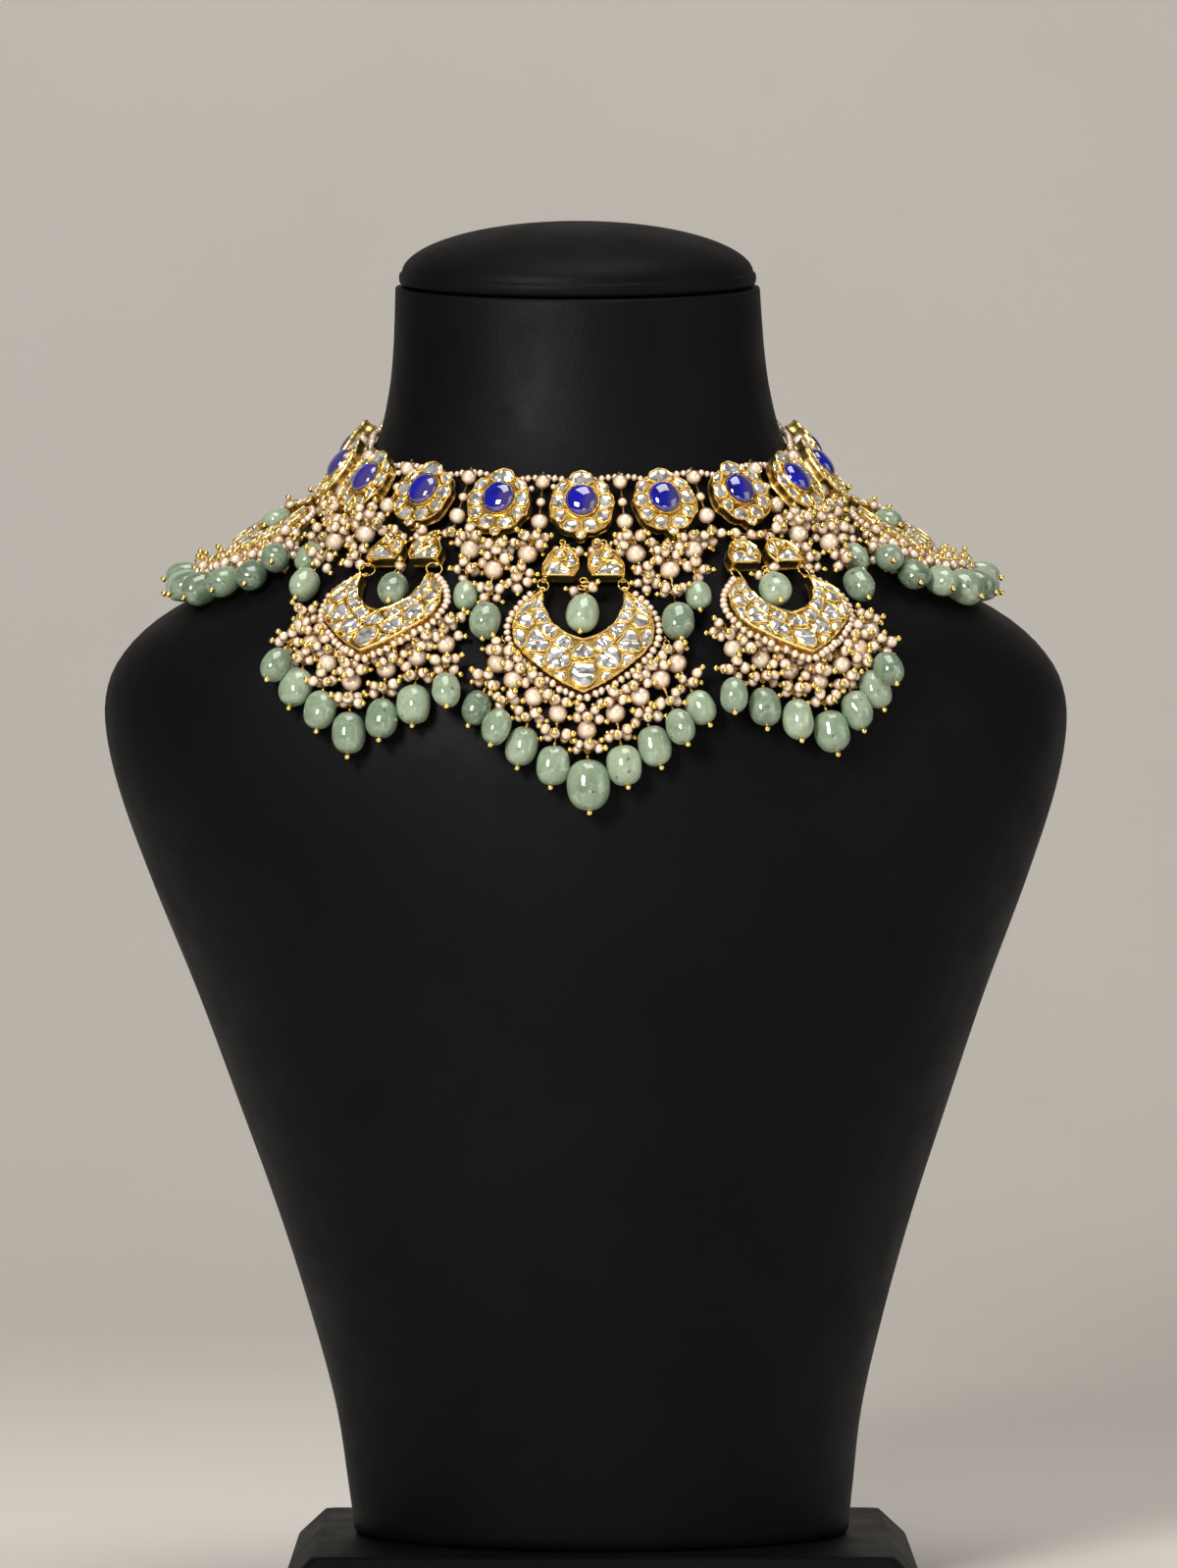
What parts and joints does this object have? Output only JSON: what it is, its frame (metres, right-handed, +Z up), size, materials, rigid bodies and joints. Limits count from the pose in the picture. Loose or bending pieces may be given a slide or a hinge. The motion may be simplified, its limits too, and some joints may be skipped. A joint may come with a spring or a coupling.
{
  "type": "polki necklace on a neck bust",
  "caption": "Bridal choker of flower medallions with crescent pendants and hanging bead drops, resting on a padded neck and shoulder bust.",
  "frame": {"origin": "centre of the underside of the bust's base", "axes": "+Z up along the neck, -Y the way the necklace faces, +X to the right of a viewer who faces it"},
  "size_m": [0.294, 0.188, 0.4205],
  "materials": {
    "bust_leather": "satin",
    "gold": "polished",
    "pearl": "pearly",
    "blue_stone": "polished",
    "green_stone": "polished, translucent"
  },
  "bodies": {
    "root": {"bust": "bust_leather", "cap": "bust_leather", "base": "bust_leather", "medallion_1": "gold", "sapphire_1": "blue_stone", "medallion_2": "gold", "sapphire_2": "blue_stone", "medallion_3": "gold", "sapphire_3": "blue_stone", "medallion_4": "gold", "sapphire_4": "blue_stone", "medallion_5": "gold", "sapphire_5": "blue_stone", "medallion_6": "gold", "sapphire_6": "blue_stone", "medallion_7": "gold", "sapphire_7": "blue_stone", "medallion_8": "gold", "sapphire_8": "blue_stone", "medallion_9": "gold", "sapphire_9": "blue_stone", "medallion_10": "gold", "sapphire_10": "blue_stone", "medallion_11": "gold", "sapphire_11": "blue_stone", "bird_centre_a": "gold", "bird_centre_b": "gold", "crescent_centre": "gold", "bird_left_a": "gold", "bird_left_b": "gold", "crescent_left": "gold", "bird_right_a": "gold", "bird_right_b": "gold", "crescent_right": "gold", "bird_outer_left_a": "gold", "bird_outer_left_b": "gold", "crescent_outer_left": "gold", "bird_outer_right_a": "gold", "bird_outer_right_b": "gold", "crescent_outer_right": "gold", "spacer_pearls": "pearl", "spacer_pins": "gold", "edging": "pearl", "back_strands": "pearl", "clasp": "gold", "greens_centre": "green_stone", "pearls_centre": "pearl", "greens_left": "green_stone", "pearls_left": "pearl", "greens_right": "green_stone", "pearls_right": "pearl", "greens_outer_left": "green_stone", "pearls_outer_left": "pearl", "greens_outer_right": "green_stone", "pearls_outer_right": "pearl", "wires_centre": "gold", "wires_left": "gold", "wires_right": "gold"}
  },
  "joints": []
}
